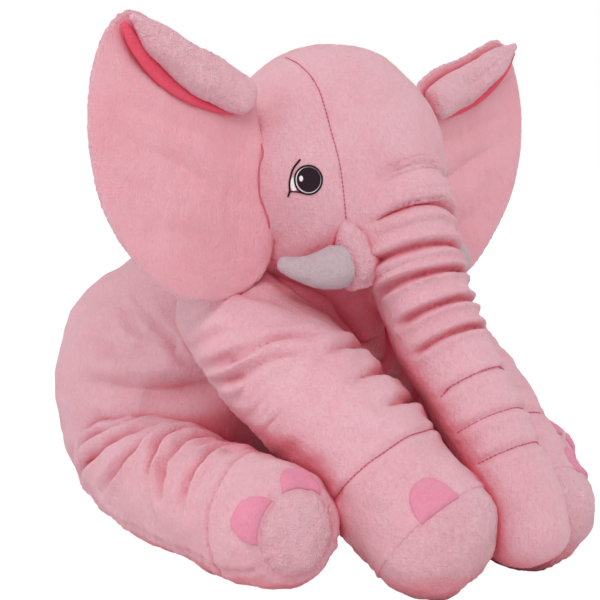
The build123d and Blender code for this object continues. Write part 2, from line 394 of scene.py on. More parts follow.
def thread(name, colour, rough=0.4, stripes=1400.0):
    """Satin stitch: close parallel threads with a soft gloss."""
    material = bpy.data.materials.new(name)
    material.use_nodes = True
    nodes, links = material.node_tree.nodes, material.node_tree.links
    shader = nodes["Principled BSDF"]
    place = nodes.new("ShaderNodeTexCoord")
    wave = nodes.new("ShaderNodeTexWave")
    wave.inputs["Scale"].default_value = stripes / 6
    wave.inputs["Distortion"].default_value = 1.5
    links.new(place.outputs["Object"], wave.inputs["Vector"])
    ramp = nodes.new("ShaderNodeMapRange")
    ramp.inputs["To Min"].default_value = rough - 0.1
    ramp.inputs["To Max"].default_value = rough + 0.2
    links.new(wave.outputs["Fac"], ramp.inputs["Value"])
    links.new(ramp.outputs[0], shader.inputs["Roughness"])
    bump = nodes.new("ShaderNodeBump")
    bump.inputs["Strength"].default_value = 0.4
    bump.inputs["Distance"].default_value = 0.0003
    links.new(wave.outputs["Fac"], bump.inputs["Height"])
    links.new(bump.outputs["Normal"], shader.inputs["Normal"])
    shader.inputs["Base Color"].default_value = colour
    shader.inputs["Specular IOR Level"].default_value = 0.15
    return material


short_pile = plush("short_pile_plush", PINK, PINK_DEEP, PINK_PALE)
sole_pile = plush("sole_plush", PINK, PINK_DEEP, PINK_PALE, pile=1.1, grain=640.0)
ear_velour = plush("ear_velour", EAR_PINK, EAR_DEEP, linear(246, 200, 208), pile=0.4, grain=1300.0)
# Painted shade: a deep pink velour for the band under the ear's flap, where the fold lies in shadow.
painted_fold_shade_velour = plush("painted_fold_shade_velour", linear(236, 84, 108), linear(214, 52, 80), linear(240, 110, 130), pile=0.3)
nail_velour = plush("nail_velour", NAIL_PINK, PINK_DEEP, linear(238, 170, 190), pile=0.3, grain=1300.0)
tusk_pile = plush("tusk_plush", linear(198, 174, 182), linear(176, 104, 122), linear(222, 206, 212), pile=0.5)


def kd_tree(points):
    tree = KDTree(len(points))
    for index, point in enumerate(points):
        tree.insert(point, index)
    tree.balance()
    return tree


def mesh_places(mesh):
    flat = np.empty(len(mesh.vertices) * 3)
    mesh.vertices.foreach_get("co", flat)
    return flat.reshape(-1, 3)
SWELL_VOXEL = 6.0
SWELL_FRAMES = 20
SWELL_PRESSURE = 4.0


def swelling(points, faces, normals, held, cap):
    """How far a stuffed skin moves outwards, by a cloth simulation held down along its creases.

    The simulation runs on a coarser copy. Its movement is capped, and centred so that the size stays the same.
    """
    flat = points.reshape(-1, 3)
    piece = make_object("swelling_pad", flat, faces, fibre)
    remesh = piece.modifiers.new("skin", "REMESH")
    remesh.mode = "VOXEL"
    remesh.voxel_size = SWELL_VOXEL * MM
    apply_modifiers(piece)
    before = mesh_places(piece.data)
    pin(piece, before, flat * MM, held.ravel())
    after = run_cloth(piece)
    bpy.data.objects.remove(piece)
    coarse = kd_tree(before)
    moves = (after - before) / MM
    outward = np.empty(len(flat))
    for index, (point, normal) in enumerate(zip(flat * MM, normals.reshape(-1, 3))):
        found = coarse.find_n(point, 4)
        weights = np.array([1 / (distance + MM) for _, _, distance in found])
        nearby = moves[[other for _, other, _ in found]]
        outward[index] = (weights @ nearby / weights.sum()) @ normal
    soft = cap * np.tanh(outward / cap)
    return (soft - soft.mean()).reshape(points.shape[:-1])


def pin(piece, coarse, fine, held):
    """Holds the points of the coarse copy that lie on the creases."""
    tree = kd_tree(fine)
    group = piece.vertex_groups.new(name="held")
    for index, place in enumerate(coarse):
        _, nearest, _ = tree.find(place)
        group.add([index], float(held[nearest]), "REPLACE")


def run_cloth(piece):
    """Steps the cloth under pressure without gravity, and returns its last places."""
    cloth = piece.modifiers.new("padding", "CLOTH")
    settings = cloth.settings
    settings.quality = 4
    settings.mass = 0.25
    settings.tension_stiffness = 14
    settings.compression_stiffness = 14
    settings.shear_stiffness = 5
    settings.bending_stiffness = 0.3
    settings.use_pressure = True
    settings.uniform_pressure_force = SWELL_PRESSURE
    settings.effector_weights.gravity = 0
    settings.vertex_group_mass = "held"
    cloth.point_cache.frame_end = SWELL_FRAMES
    scene = bpy.context.scene
    for frame in range(1, SWELL_FRAMES + 1):
        scene.frame_set(frame)
    evaluated = piece.evaluated_get(bpy.context.evaluated_depsgraph_get())
    places = mesh_places(evaluated.to_mesh())
    evaluated.to_mesh_clear()
    scene.frame_set(1)
    return places


def swell_limb(limb, cap):
    """Adds the swelling of a tube whose creases are still in its shifts."""
    held = np.clip(-limb.shift / 3, 0, 1)
    limb.settle()
    limb.shift += swelling(limb.points, limb.faces(), limb.normals(), held, cap)
fibre = plush("stuffing_fibre", linear(235, 235, 235), linear(200, 200, 200), linear(250, 250, 250))
dark_thread = thread("dark_thread", linear(38, 20, 30))
white_thread = thread("white_thread", linear(236, 226, 230))
seam_thread = thread("seam_thread", linear(196, 92, 116))


# Torso

TORSO_CREASES = [
    ([(84, 92), (95, 141), (105, 177), (112, 216)], 6.5, 9),
    ([(68, 100), (83, 155), (89, 205)], 4.5, 7),
    ([(57, 150), (71, 165), (82, 184), (88, 203)], 4.5, 4),
    ([(59, 168), (73, 187), (87, 203), (98, 208), (110, 222)], 5, 4),
    ([(40, 60), (52, 110), (50, 160)], 3.0, 10),
    ([(102, 150), (110, 190), (116, 230)], 12.0, 17),
]


def torso_tube(grow=0.0):
    rows = [
        (0, 58, 118, 100, 98),
        (0, 30, 124, 127, 122),
        (0, -10, 136, 139, 132),
        (0, -64, 158, 139, 134),
        (0, -118, 186, 123, 122),
        (0, -168, 212, 104, 104),
        (0, -196, 222, 88, 88),
    ]
    return Tube(rows, (0, 0, 1), 44, 52, step=2.2, grow=grow)


def sit_flat(points, floor=0.6, soft=14.0):
    """Presses what would pass through the floor into a soft flat."""
    height = points[..., 2] - floor
    pressed = soft * np.log1p(np.exp(np.clip(height / soft, -30, 30)))
    points[..., 2] = floor + np.where(height > 3 * soft, height, pressed * (1 - 0.69 * np.exp(-((height / soft) ** 2))))
    return points


def build_torso():
    torso = torso_tube()
    for side in SIDES.values():
        for line, depth, width in TORSO_CREASES:
            torso.fold([(side * angle, along) for angle, along in line], depth, width)
    swell_limb(torso, 4.0)
    torso.shift += 2.2 * lumps(torso.points, 80, 11) + 0.8 * lumps(torso.points, 26, 12)
    torso.settle()
    points = sit_flat(torso.points)
    piece = make_object("torso_plush", points, torso.faces(), short_pile)
    nodes = ("torso_side_left", "torso_side_right", "torso_back_panel", "torso_belly_panel")
    finish_piece(piece, "torso", nodes)
    core = torso_tube(grow=-26)
    core_piece = make_object("torso_filling", sit_flat(core.points, floor=5), core.faces(), fibre)
    finish_piece(core_piece, "torso", ("torso_stuffing",))


# Legs

FRONT_ROWS = [
    (60, -146, 240, 38, 34),
    (80, -175, 225, 57, 47),
    (90, -228, 192, 64, 54),
    (86, -285, 151, 62, 56),
    (78, -330, 111, 59, 56),
    (71, -366, 76, 57, 56),
    (67, -388, 56, 56, 54),
]
FRONT_START = -30.0
FRONT_CREASES = [
    ([(-108, 40), (-80, 52), (-52, 66)], 3.5, 4),
    ([(-112, 60), (-72, 84), (-42, 94), (-12, 110)], 6.0, 3.6),
    ([(-126, 66), (-91, 92), (-58, 104), (-38, 118)], 6.5, 3.6),
    ([(-70, 10), (-40, 30), (-20, 60)], 3.0, 4),
    ([(-40, 20), (-12, 60), (-4, 84)], 3.0, 6),
]
INNER_GATHERS = (126, 156, 187)
REAR_CREASES = [
    ([(30, 244), (-6, 241), (-30, 251), (-48, 252), (-80, 257)], 8.0, 4.0),
    ([(30, 200), (-6, 200), (-39, 207), (-64, 219), (-80, 224)], 9.0, 4.2),
    ([(20, 172), (-18, 176), (-42, 184), (-66, 198)], 9.0, 4.0),
    ([(5, 150), (-18, 158), (-45, 156), (-76, 134), (-104, 106)], 10.0, 4.4),
    ([(0, 132), (-18, 128), (-45, 117), (-82, 78), (-106, 49)], 9.0, 4.4),
    ([(-8, 104), (-36, 98), (-57, 74), (-84, 34)], 8.0, 4.2),
    ([(-20, 68), (-42, 56), (-64, 30)], 5.5, 4.4),
]
FRONT_FOOT_SEAM = 218.0
FRONT_TOE_SEAM = 286.0
REAR_FOOT_SEAM = 287.0
REAR_TOE_SEAM = 349.0
REAR_ROWS = [
    (78, -8, 84, 46, 44),
    (98, -52, 80, 56, 54),
    (120, -112, 74, 57, 55),
    (140, -176, 70, 55, 53),
    (155, -232, 68, 54, 52),
    (164, -276, 67, 53, 52),
    (169, -304, 66, 52, 51),
    (172, -319, 66, 51, 50),
]


def ribs(limb, start, spacing, count, near, far, slant, depth, width):
    """Gathers that run part of the way round a limb, one after the other."""
    for index in range(count):
        along = start + index * spacing
        wander = 4 * math.sin(2.4 * index + start)
        limb.fold(
            [(near + wander, along), ((near + far) / 2, along + 0.6 * slant), (far - wander, along + slant)],
            depth * (1 - 0.25 * math.sin(1.7 * index) ** 2),
            width,
        )


def front_leg_tube(grow=0.0, step=1.8):
    return Tube(FRONT_ROWS, (0, 0, 1), 34, 50, step=step, grow=grow, start_at=FRONT_START)


def rear_leg_tube(grow=0.0, step=1.8):
    return Tube(REAR_ROWS, (0, 0, 1), 42, 31, step=step, grow=grow)


def shape_front_leg(leg):
    """Shoulder folds, small puckers on the outer seam, deep gathers on the inner side and the foot's seams."""
    for line, depth, width in FRONT_CREASES:
        leg.fold(line, depth, width, ridge=0.5)
    ribs(leg, 100, 9, 5, -112, -82, 5, 2.4, 3.0)
    for along in INNER_GATHERS:
        leg.fold([(96, along + 6), (50, along), (8, along), (-27, along + 2)], 7.0, 4.2, ridge=0.6)
    swell_limb(leg, 3.0)
    ring_seam(leg, FRONT_FOOT_SEAM, 2.6, 2.4)
    ring_seam(leg, FRONT_TOE_SEAM, 3.0, 2.0)
    long_seam(leg, 105, 20, FRONT_TOE_SEAM, 1.4, 2.4)
    long_seam(leg, -142, 20, FRONT_TOE_SEAM, 1.4, 2.4)
    leg.shift += 1.6 * lumps(leg.points, 60, 21) + 0.6 * lumps(leg.points, 20, 22)


def shape_rear_leg(leg):
    for line, depth, width in REAR_CREASES:
        leg.fold(line, depth, width, ridge=0.6)
    swell_limb(leg, 3.0)
    ring_seam(leg, REAR_FOOT_SEAM, 4.0, 2.8, swing=14, towards=-130)
    ring_seam(leg, REAR_TOE_SEAM, 2.6, 2.0)
    long_seam(leg, 105, 20, REAR_TOE_SEAM, 1.4, 2.4)
    long_seam(leg, -124, 20, REAR_TOE_SEAM, 2.0, 2.8, pitch=12)
    leg.shift += 1.6 * lumps(leg.points, 60, 31) + 0.6 * lumps(leg.points, 20, 32)


def ring_seam(limb, along, depth, width, swing=0.0, towards=0.0):
    """A seam right round a limb. It swings further along the limb on the side that it is turned towards."""
    degrees, distance = limb.flat_metric()
    place = along + swing * np.cos(np.radians(degrees - towards))
    limb.shift += depth * crease_shape(np.abs(distance - place), width, 0.45)


def long_seam(limb, angle, start, end, depth, width, pitch=9.0):
    """A puckered seam that runs along a limb."""
    degrees, distance = limb.flat_metric()
    radius = limb.radii.mean(axis=1)[:, None]
    gap = np.abs(np.radians((degrees - angle + 180) % 360 - 180) * radius)
    inside = 1 / (1 + np.exp(-(distance - start) / 4)) / (1 + np.exp((distance - end) / 4))
    pucker = 1 + 0.7 * np.sin(2 * math.pi * distance / pitch) * (gap < 5 * width)
    limb.shift += inside * depth * pucker * crease_shape(gap, width, 0.5)
NAILS = {"front_leg": (-41.0, 50.0), "rear_leg": (-67.0, 9.0)}


def tube_part(name, limb, first, last, side, material):
    """The rings from first to last as a closed piece."""
    grid = limb.points[first : last + 1]
    rings, around = grid.shape[:2]
    index = np.arange(rings * around).reshape(rings, around)
    right = np.roll(index, -1, axis=1)
    quads = np.stack([index[:-1], right[:-1], right[1:], index[1:]], axis=-1).reshape(-1, 4).tolist()
    points = mirrored(grid, side).reshape(-1, 3)
    extra = []
    for ring, centre in ((0, limb.centre[first]), (rings - 1, limb.centre[last])):
        extra.append(mirrored(centre, side))
        hub = len(points) + len(extra) - 1
        for a in range(around):
            quads.append([int(index[ring, a]), int(index[ring, (a + 1) % around]), hub])
    return make_object(name, np.vstack([points, extra]), quads, material)


def build_leg(kind, rows_tube, shape, toe, seed):
    leg = rows_tube()
    shape(leg)
    leg.settle()
    _, distance = leg.flat_metric()
    fluff = 1 / (1 + np.exp(-(distance - toe) / 2))
    leg.shift += (0.16 + 0.2 * fluff) * lumps(leg.points, 5, seed)
    leg.settle()
    leg.points[..., 2] = np.maximum(leg.points[..., 2], 1.0)
    ring = int(np.argmin(np.abs(leg.along - toe)))
    core = rows_tube(grow=-15, step=5)
    for side_name, side in SIDES.items():
        body = f"{kind}_{side_name}"
        cover = tube_part(f"{body}_cover", leg, 0, ring, side, short_pile)
        sole = tube_part(f"{body}_foot_sole", leg, ring, len(leg.along) - 1, side, sole_pile)
        filling = make_object(f"{body}_filling", mirrored(core.points, side), core.faces(), fibre)
        pieces = [
            (cover, (f"{body}_upper_panel", f"{body}_under_panel"), "short_pile_plush"),
            (sole, (f"{body}_sole",), "long_pile_plush"),
            (filling, (f"{body}_stuffing",), "stuffing"),
        ]
        for index, turn in enumerate(NAILS[kind]):
            nail = nail_patch(f"{body}_nail_{index + 1}", leg, turn, toe, side, NAIL_REACH[kind])
            pieces.append((nail, (f"{body}_nails",), "nail_felt"))
        if kind == "front_leg":
            pieces.append((sew_foot(leg, body, side), (), "eye_thread"))
        for piece, nodes, slot in pieces:
            finish_piece(piece, body, nodes)


def sew_foot(leg, body, side):
    """The stitches of the seam between the leg and its foot."""
    turns = np.linspace(-130, 60, 60)
    radius = np.interp(FRONT_FOOT_SEAM, leg.along, leg.radii.mean(axis=1))
    places, normals = surface_at(leg, 0, np.radians(turns) * radius, np.full(len(turns), FRONT_FOOT_SEAM))
    return stitches(f"{body}_foot_stitches", list(zip(places, normals)), side)


NAIL_HALF_WIDTH = 20.0
NAIL_REACH = {"front_leg": 30.0, "rear_leg": 22.0}
def nail_patch(name, leg, turn, toe, side, reach):
    """A D-shaped velour patch that follows the foot, its flat edge on the toe seam."""
    across = np.linspace(-1, 1, 33)
    back = np.linspace(0, 1, 28)
    u, v = np.meshgrid(across, back)
    width = NAIL_HALF_WIDTH * np.sqrt(np.clip(1 - (v * 0.985) ** 2.6, 0.004, 1))
    arc = leg.arc_length()
    edge = np.interp(toe, leg.along, arc)
    distance = np.interp(edge - 1.0 - v * reach, arc, leg.along)
    points, normals = surface_at(leg, turn, u * width, distance)
    rim = np.minimum(1 - np.abs(u), np.minimum(v, 1 - v) * 1.6)
    lift = 0.3 + 1.6 * np.clip(rim / 0.2, 0, 1) ** 0.5
    top = points + normals * lift[..., None]
    bottom = points - normals * 1.5
    return sheet_object(name, mirrored(top, side), mirrored(bottom, side), nail_velour)
TRUNK_LEAN = 30.0


def surface_at(limb, turn, offset, distance):
    """Points and normals on a finished tube, at an offset round from a turn and a distance along."""
    rows = np.interp(distance, limb.along, np.arange(len(limb.along)))
    radius = np.interp(distance, limb.along, limb.radii.mean(axis=1))
    count = len(limb.angle)
    columns = ((np.radians(turn) + offset / radius) % (2 * math.pi)) / (2 * math.pi) * count
    normals = limb.normals()

    def sample(grid):
        r0 = np.clip(rows.astype(int), 0, len(limb.along) - 2)
        c0 = columns.astype(int) % count
        c1 = (c0 + 1) % count
        fr, fc = (rows - r0)[..., None], (columns - columns.astype(int))[..., None]
        upper = grid[r0, c0] * (1 - fc) + grid[r0, c1] * fc
        lower = grid[r0 + 1, c0] * (1 - fc) + grid[r0 + 1, c1] * fc
        return upper * (1 - fr) + lower * fr

    return sample(limb.points), unit(sample(normals))


def sheet_object(name, top, bottom, material):
    """A closed thin sheet from two grids of the same shape."""
    rows, columns = top.shape[:2]
    index = np.arange(rows * columns).reshape(rows, columns)
    upper = np.stack([index[:-1, :-1], index[:-1, 1:], index[1:, 1:], index[1:, :-1]], axis=-1).reshape(-1, 4)
    lower = upper[:, ::-1] + rows * columns
    border = np.concatenate([index[0, :], index[1:, -1], index[-1, -2::-1], index[-2:0:-1, 0]])
    nexts = np.roll(border, -1)
    wall = np.stack([nexts, border, border + rows * columns, nexts + rows * columns], axis=-1)
    points = np.vstack([top.reshape(-1, 3), bottom.reshape(-1, 3)])
    return make_object(name, points, [*upper.tolist(), *lower.tolist(), *wall.tolist()], material)


# Head and trunk

HEAD_CENTRE = np.array([0, -211, 347.0])
HEAD_RADII = np.array([111, 100, 118.0])
TRUNK_ROWS = [
    (0, -236, 352, 50, 62),
    (0, -282, 324, 56, 54),
    (0, -302, 288, 48, 42),
    (0, -318, 246, 43, 41),
    (2, -340, 204, 40, 39),
    (4, -372, 158, 39, 38),
    (5, -400, 114, 38, 36),
    (6, -420, 78, 38, 36),
    (6, -431, 50, 37, 34),
]
TRUNK_CREASES = [
    # distance along, half spread in degrees, how far the ends sag, depth
    (55, 64, 6, 3.2),
    (77, 84, 9, 7.0),
    (108, 114, 8, 8.0),
    (132, 120, 8, 8.0),
    (163, 104, 6, 7.5),
    (193, 100, 4, 7.0),
    (235, 100, 2, 2.8),
    (270, 100, 2, 2.8),
    (301, 96, 2, 2.4),
]


def tube_places(tube, points):
    """Degrees round a tube, distance along it, and share of its radius, for points in space."""
    tree = kd_tree(tube.centre)
    rows = np.array([tree.find(point)[1] for point in points])
    offset = points - tube.centre[rows]
    side, up = tube.side[rows], tube.up[rows]
    degrees = np.degrees(np.arctan2(np.sum(offset * side, axis=1), np.sum(offset * up, axis=1)))
    along = tube.along[rows] + np.sum(offset * np.cross(up, side), axis=1)
    return degrees, along, np.linalg.norm(offset, axis=1) / tube.radii[rows].mean(axis=1)


def crease_trunk(skin, trunk):
    """The folds across the front of the trunk."""
    degrees, along, out = tube_places(trunk, skin.points)
    for place, spread, sag, depth in TRUNK_CREASES:
        line = place + sag * ((degrees - TRUNK_LEAN) / spread) ** 2
        fade = np.clip((spread - np.abs(degrees)) / 24, 0, 1) * np.clip((1.5 - out) / 0.2, 0, 1)
        skin.shift += fade * depth * crease_shape(np.abs(along - line), 2.8, 0.55)
HEAD_SEAM = [(47, -200, 446), (56, -228, 437), (64, -256, 419), (70, -277, 383), (68, -286, 352), (60, -285, 308)]
JAW_ROWS = [(0, -222, 292, 52, 46), (0, -244, 252, 42, 36), (0, -253, 222, 27, 22), (0, -256, 206, 15, 13)]
CHEEK = np.array([40, -238, 292.0])
CHEEK_RADII = (52, 46, 42)


def lump_mesh(name, parts, voxel, smoothing):
    """Grids of points joined into one skin, with their junctions smoothed."""
    points, faces = [], []
    for grid_points, grid_faces in parts:
        base = len(points)
        points += grid_points.reshape(-1, 3).tolist()
        faces += [[base + i for i in face] for face in grid_faces]
    piece = make_object(name, points, faces, short_pile)
    remesh = piece.modifiers.new("skin", "REMESH")
    remesh.mode = "VOXEL"
    remesh.voxel_size = voxel * MM
    apply_modifiers(piece)
    smooth = piece.modifiers.new("smooth", "SMOOTH")
    smooth.factor = 0.5
    smooth.iterations = smoothing
    apply_modifiers(piece)
    finer = piece.modifiers.new("finer", "SUBSURF")
    finer.levels = finer.render_levels = 1
    apply_modifiers(piece)
    piece.data.shade_smooth()
    return piece


def ellipsoid_grid(centre, radii, rings=60, around=90):
    polar = np.linspace(0.02, math.pi - 0.02, rings)[:, None]
    turn = np.linspace(0, 2 * math.pi, around, endpoint=False)[None, :]
    unit_ball = np.stack([
        np.sin(polar) * np.cos(turn), np.sin(polar) * np.sin(turn), np.cos(polar) * np.ones_like(turn)], axis=-1)
    points = np.array(centre) + unit_ball * np.array(radii)
    index = np.arange(rings * around).reshape(rings, around)
    right = np.roll(index, -1, axis=1)
    quads = np.stack([index[:-1], right[:-1], right[1:], index[1:]], axis=-1).reshape(-1, 4).tolist()
    return points, quads + [index[0].tolist(), index[-1].tolist()]


class Skin:
    """The points of a finished mesh, moved along their normals by folds drawn as lines in space."""

    def __init__(self, piece):
        self.piece = piece
        count = len(piece.data.vertices)
        flat = np.empty(count * 3)
        piece.data.vertices.foreach_get("co", flat)
        self.points = flat.reshape(-1, 3) / MM
        flat = np.empty(count * 3)
        piece.data.vertices.foreach_get("normal", flat)
        self.normals = flat.reshape(-1, 3).copy()
        self.shift = np.zeros(count)

    def fold(self, line, depth, width, ridge=0.4, fades=True):
        """Presses a crease along a line through points in space."""
        curve, _ = smooth_rows(line, 30)
        low, high = curve.min(axis=0) - 5 * width, curve.max(axis=0) + 5 * width
        near = np.all((self.points > low) & (self.points < high), axis=1)
        gap, share = line_gap(self.points[near], curve)
        self.shift[near] += end_fade(share, fades) * depth * crease_shape(gap, width, ridge)

    def tree(self):
        """The skin as it is now, for ray casts in metres."""
        faces = [face.vertices[:] for face in self.piece.data.polygons]
        return BVHTree.FromPolygons((self.points * MM).tolist(), faces)

    def settle(self):
        moved = (self.points + self.normals * self.shift[:, None]) * MM
        self.piece.data.vertices.foreach_set("co", moved.ravel())
        self.piece.data.update()
        flat = np.empty(moved.size)
        self.piece.data.vertices.foreach_get("normal", flat)
        self.points = moved / MM
        self.normals = flat.reshape(-1, 3).copy()
        self.shift[:] = 0


def head_surface(across, height):
    """The front point of the head's ellipsoid at a place across and a height, measured from its centre."""
    inside = max(0.0, 1 - (across / HEAD_RADII[0]) ** 2 - (height / HEAD_RADII[2]) ** 2)
    return HEAD_CENTRE + np.array([across, -HEAD_RADII[1] * math.sqrt(inside), height])


def trunk_tube(step=2.4, grow=0.0):
    return Tube(TRUNK_ROWS, (0, -1, 0), 30, 27, step=step, grow=grow)


def split_piece(piece, name, plane_point, plane_normal):
    """Cuts a closed piece in two by a plane. The part behind the plane keeps its name, the other is returned."""
    other = piece.copy()
    other.data = piece.data.copy()
    other.name = name
    bpy.context.scene.collection.objects.link(other)
    for target, keep_front in ((piece, False), (other, True)):
        cut = bmesh.new()
        cut.from_mesh(target.data)
        geometry = cut.verts[:] + cut.edges[:] + cut.faces[:]
        outcome = bmesh.ops.bisect_plane(
            cut,
            geom=geometry,
            plane_co=Vector(np.array(plane_point) * MM),
            plane_no=Vector(plane_normal),
            clear_outer=not keep_front,
            clear_inner=keep_front,
        )
        edges = [item for item in outcome["geom_cut"] if isinstance(item, bmesh.types.BMEdge)]
        bmesh.ops.holes_fill(cut, edges=edges)
        bmesh.ops.triangulate(cut, faces=[face for face in cut.faces if len(face.verts) > 4])
        cut.to_mesh(target.data)
        cut.free()
    return other


def build_head():
    trunk = trunk_tube()
    jaw = Tube(JAW_ROWS, (0, -1, 0), 10, 10, step=2.4)
    head_parts = [ellipsoid_grid(HEAD_CENTRE, HEAD_RADII), (trunk.points, trunk.faces()), (jaw.points, jaw.faces())]
    head_parts += [ellipsoid_grid(mirrored(CHEEK, side), CHEEK_RADII) for side in SIDES.values()]
    head = lump_mesh("head_plush", head_parts, 3.2, 22)
    skin = Skin(head)
    shape_head(skin)
    tree = skin.tree()
    upper_end = JOINTS["trunk_bend"] * 0.5 + JOINTS["trunk_lift"] * 0.5
    trunk_way = unit(JOINTS["trunk_bend"] - JOINTS["trunk_lift"])
    lower = split_piece(head, "trunk_lower_plush", upper_end, trunk_way)
    head_nodes = ("head_side_left", "head_side_right", "head_gusset", "head_chin",
                  "trunk_upper_front_panel", "trunk_upper_under_panel")
    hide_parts(*head_nodes)
    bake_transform(head)
    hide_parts("trunk_lower_front_panel", "trunk_lower_under_panel")
    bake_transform(lower)
    return tree


def shape_head(skin):
    """Seams and folds of the head and trunk."""
    crease_trunk(skin, trunk_tube(step=3))
    held = np.clip(-skin.shift / 3, 0, 1)
    skin.settle()
    faces = [face.vertices[:] for face in skin.piece.data.polygons]
    skin.shift += swelling(skin.points, faces, skin.normals, held, 2.5)
    skin.settle()
    tree = skin.tree()
    for side in SIDES.values():
        seam = on_skin(tree, mirrored(HEAD_SEAM, side), HEAD_CENTRE)
        skin.fold([place for place, _ in seam], 1.8, 1.8, ridge=0.25, fades=False)
    skin.settle()
    skin.shift += 1.1 * lumps(skin.points, 80, 41) + 0.4 * lumps(skin.points, 24, 42)
    skin.shift += 0.14 * lumps(skin.points, 6, 43)
    skin.settle()


def on_skin(tree, line, centres):
    """Points and normals where rays from outside towards centres meet the skin, for each point of a line."""
    spots = []
    for place, centre in zip(np.asarray(line), np.broadcast_to(centres, np.shape(line))):
        way = unit(centre - place)
        hit, normal, _, _ = tree.ray_cast(Vector((place - 60 * way) * MM), Vector(way))
        spots.append((np.array(hit) / MM, np.array(normal)))
    return spots


def trunk_line(tree, trunk, along, spread, sag):
    """A line across the front of the trunk, its ends lower than its middle."""
    angles = np.linspace(-spread, spread, 17)
    places = [along + sag * ((angle - TRUNK_LEAN) / spread) ** 2 for angle in angles]
    line = [trunk.spot(angle, place) for angle, place in zip(angles, places)]
    centres = [trunk.centre[int(np.argmin(np.abs(trunk.along - place)))] for place in places]
    return on_skin(tree, line, centres)


# Ears

EAR_OUTLINE = [
    (108, 424), (140, 446), (180, 458), (212, 471), (236, 479), (255, 471), (271, 448), (281, 412),
    (281, 370), (269, 326), (246, 291), (216, 262), (188, 246), (156, 241), (126, 245), (104, 262),
    (93, 294), (95, 340), (104, 386),
]
EAR_MIDDLE = np.array([182, 360.0])
EAR_NECK_REACH = 15.0
EAR_Y = JOINTS["ear_left_flap"][1]
EAR_HALF_THICK = 10.0
EAR_HOLLOW = 7.0
EAR_SWEEP = 2.0
EAR_FOLDS = [
    ([(262, 384), (190, 356), (116, 318)], 3.0, 9),
    ([(252, 404), (190, 388), (130, 368)], 2.2, 8),
    ([(236, 300), (190, 300), (140, 272)], 2.0, 9),
]
EAR_CUP = 16.0


def closed_curve(points, count):
    """A closed Catmull-Rom outline at even steps."""
    loop = np.array(points, float)
    dense = []
    for index in range(len(loop)):
        a, b, c, d = (loop[(index + k) % len(loop)] for k in (-1, 0, 1, 2))
        t = np.linspace(0, 1, 24, endpoint=False)[:, None]
        dense.append(0.5 * (2 * b + (c - a) * t + (2 * a - 5 * b + 4 * c - d) * t**2 + (3 * b - a - 3 * c + d) * t**3))
    dense = np.vstack([*dense, dense[0][:1]])
    length = np.concatenate([[0], np.cumsum(np.linalg.norm(np.diff(dense, axis=0), axis=1))])
    even = np.linspace(0, length[-1], count, endpoint=False)
    return np.stack([np.interp(even, length, column) for column in dense.T], axis=1)


def ear_depth(x, z, sweep):
    """How far the ear's middle sheet stands from its plane.

    It is hollow in the middle, its outer side sweeps back and its inner edge laps over the cheek.
    """
    reach = (x - 110) / 170
    tall = (z - 360) / 120
    hollow = EAR_HOLLOW * np.sin(math.pi * np.clip(reach, 0, 1)) * (1 - tall**2)
    lap = EAR_NECK_REACH * np.exp(-(((x - 92) / 26) ** 2)) * np.clip((430 - z) / 60, 0, 1)
    return EAR_Y + sweep * reach**2 + hollow - lap


def ear_grid(front, sweep):
    """Rings of points from the middle of one side of the ear out to its rim."""
    outline = closed_curve(EAR_OUTLINE, 420)
    share = np.linspace(0, 1, 90)[:, None]
    plan = EAR_MIDDLE + (outline[None] - EAR_MIDDLE) * share[..., None]
    bulge = EAR_HALF_THICK * np.sqrt(np.clip(1 - share**6, 0, 1)) * (0.75 + 0.25 * np.cos(share * math.pi))
    x, z = plan[..., 0], plan[..., 1]
    y = ear_depth(x, z, sweep) + (-bulge if front else bulge)
    return np.stack([x, y, z], axis=-1)


def grid_faces(rows, around):
    index = np.arange(rows * around).reshape(rows, around)
    right = np.roll(index, -1, axis=1)
    return np.stack([index[:-1], right[:-1], right[1:], index[1:]], axis=-1).reshape(-1, 4).tolist()


def build_ears(head_tree):
    for side_name, side in SIDES.items():
        body = f"ear_{side_name}"
        sweep = EAR_SWEEP
        front, back = ear_grid(True, sweep), ear_grid(False, sweep)
        inward = 1 - np.linspace(0, 1, len(front))[:, None] ** 6
        for line, depth, width in EAR_FOLDS:
            gap, share = line_gap(front[..., [0, 2]].reshape(-1, 2), np.array(smooth_rows([(*p, 0) for p in line], 20)[0])[:, :2])
            press = end_fade(share, True) * depth * crease_shape(gap, width, 0.5)
            front[..., 1] -= press.reshape(front.shape[:2]) * inward
        front[..., 1] += (0.8 * lumps(front, 60, 51) + 0.35 * lumps(front, 18, 52)) * inward
        back[..., 1] += 1.4 * lumps(back, 60, 53) * inward
        face = ring_sheet(f"{body}_velour_face", front[: EAR_RIM_RING + 1], 3.0, side, ear_velour)
        finish_piece(face, body, (f"{body}_face",))
        ear_root_seam_and_shade(head_tree, side_name, side, face)
        behind_face = (front + (back - front) * EAR_LINING_SHARE)[1:EAR_RIM_RING:5]
        rim = np.vstack([behind_face, front[EAR_RIM_RING:], back[::-1]])
        fuzz = 0.5 * lumps(rim, 5, 54) * np.clip((np.arange(len(rim)) - len(behind_face)) / 4, 0, 1)[:, None]
        rim = rim + unit(rim - np.array([*EAR_MIDDLE[:1], EAR_Y, EAR_MIDDLE[1]])) * fuzz[..., None]
        rear = closed_rings(f"{body}_plush_back", rim, side)
        finish_piece(rear, body, (f"{body}_back",))
        wadding = ear_wadding(front, back, side, body)
        finish_piece(wadding, body, (f"{body}_wadding",))
        for part, shape, material in (
            ("folded_edge", ear_flap(sweep), sole_pile),
            ("painted_fold_shade_band", ear_fold_shade_band(sweep), painted_fold_shade_velour),
        ):
            piece = make_object(f"{body}_{part}", mirrored(shape.points, side), shape.faces(), material)
            finish_piece(piece, body, ())
EAR_RIM_RING = 86
WADDING_SHARE = 0.22
EAR_LINING_SHARE = 0.3


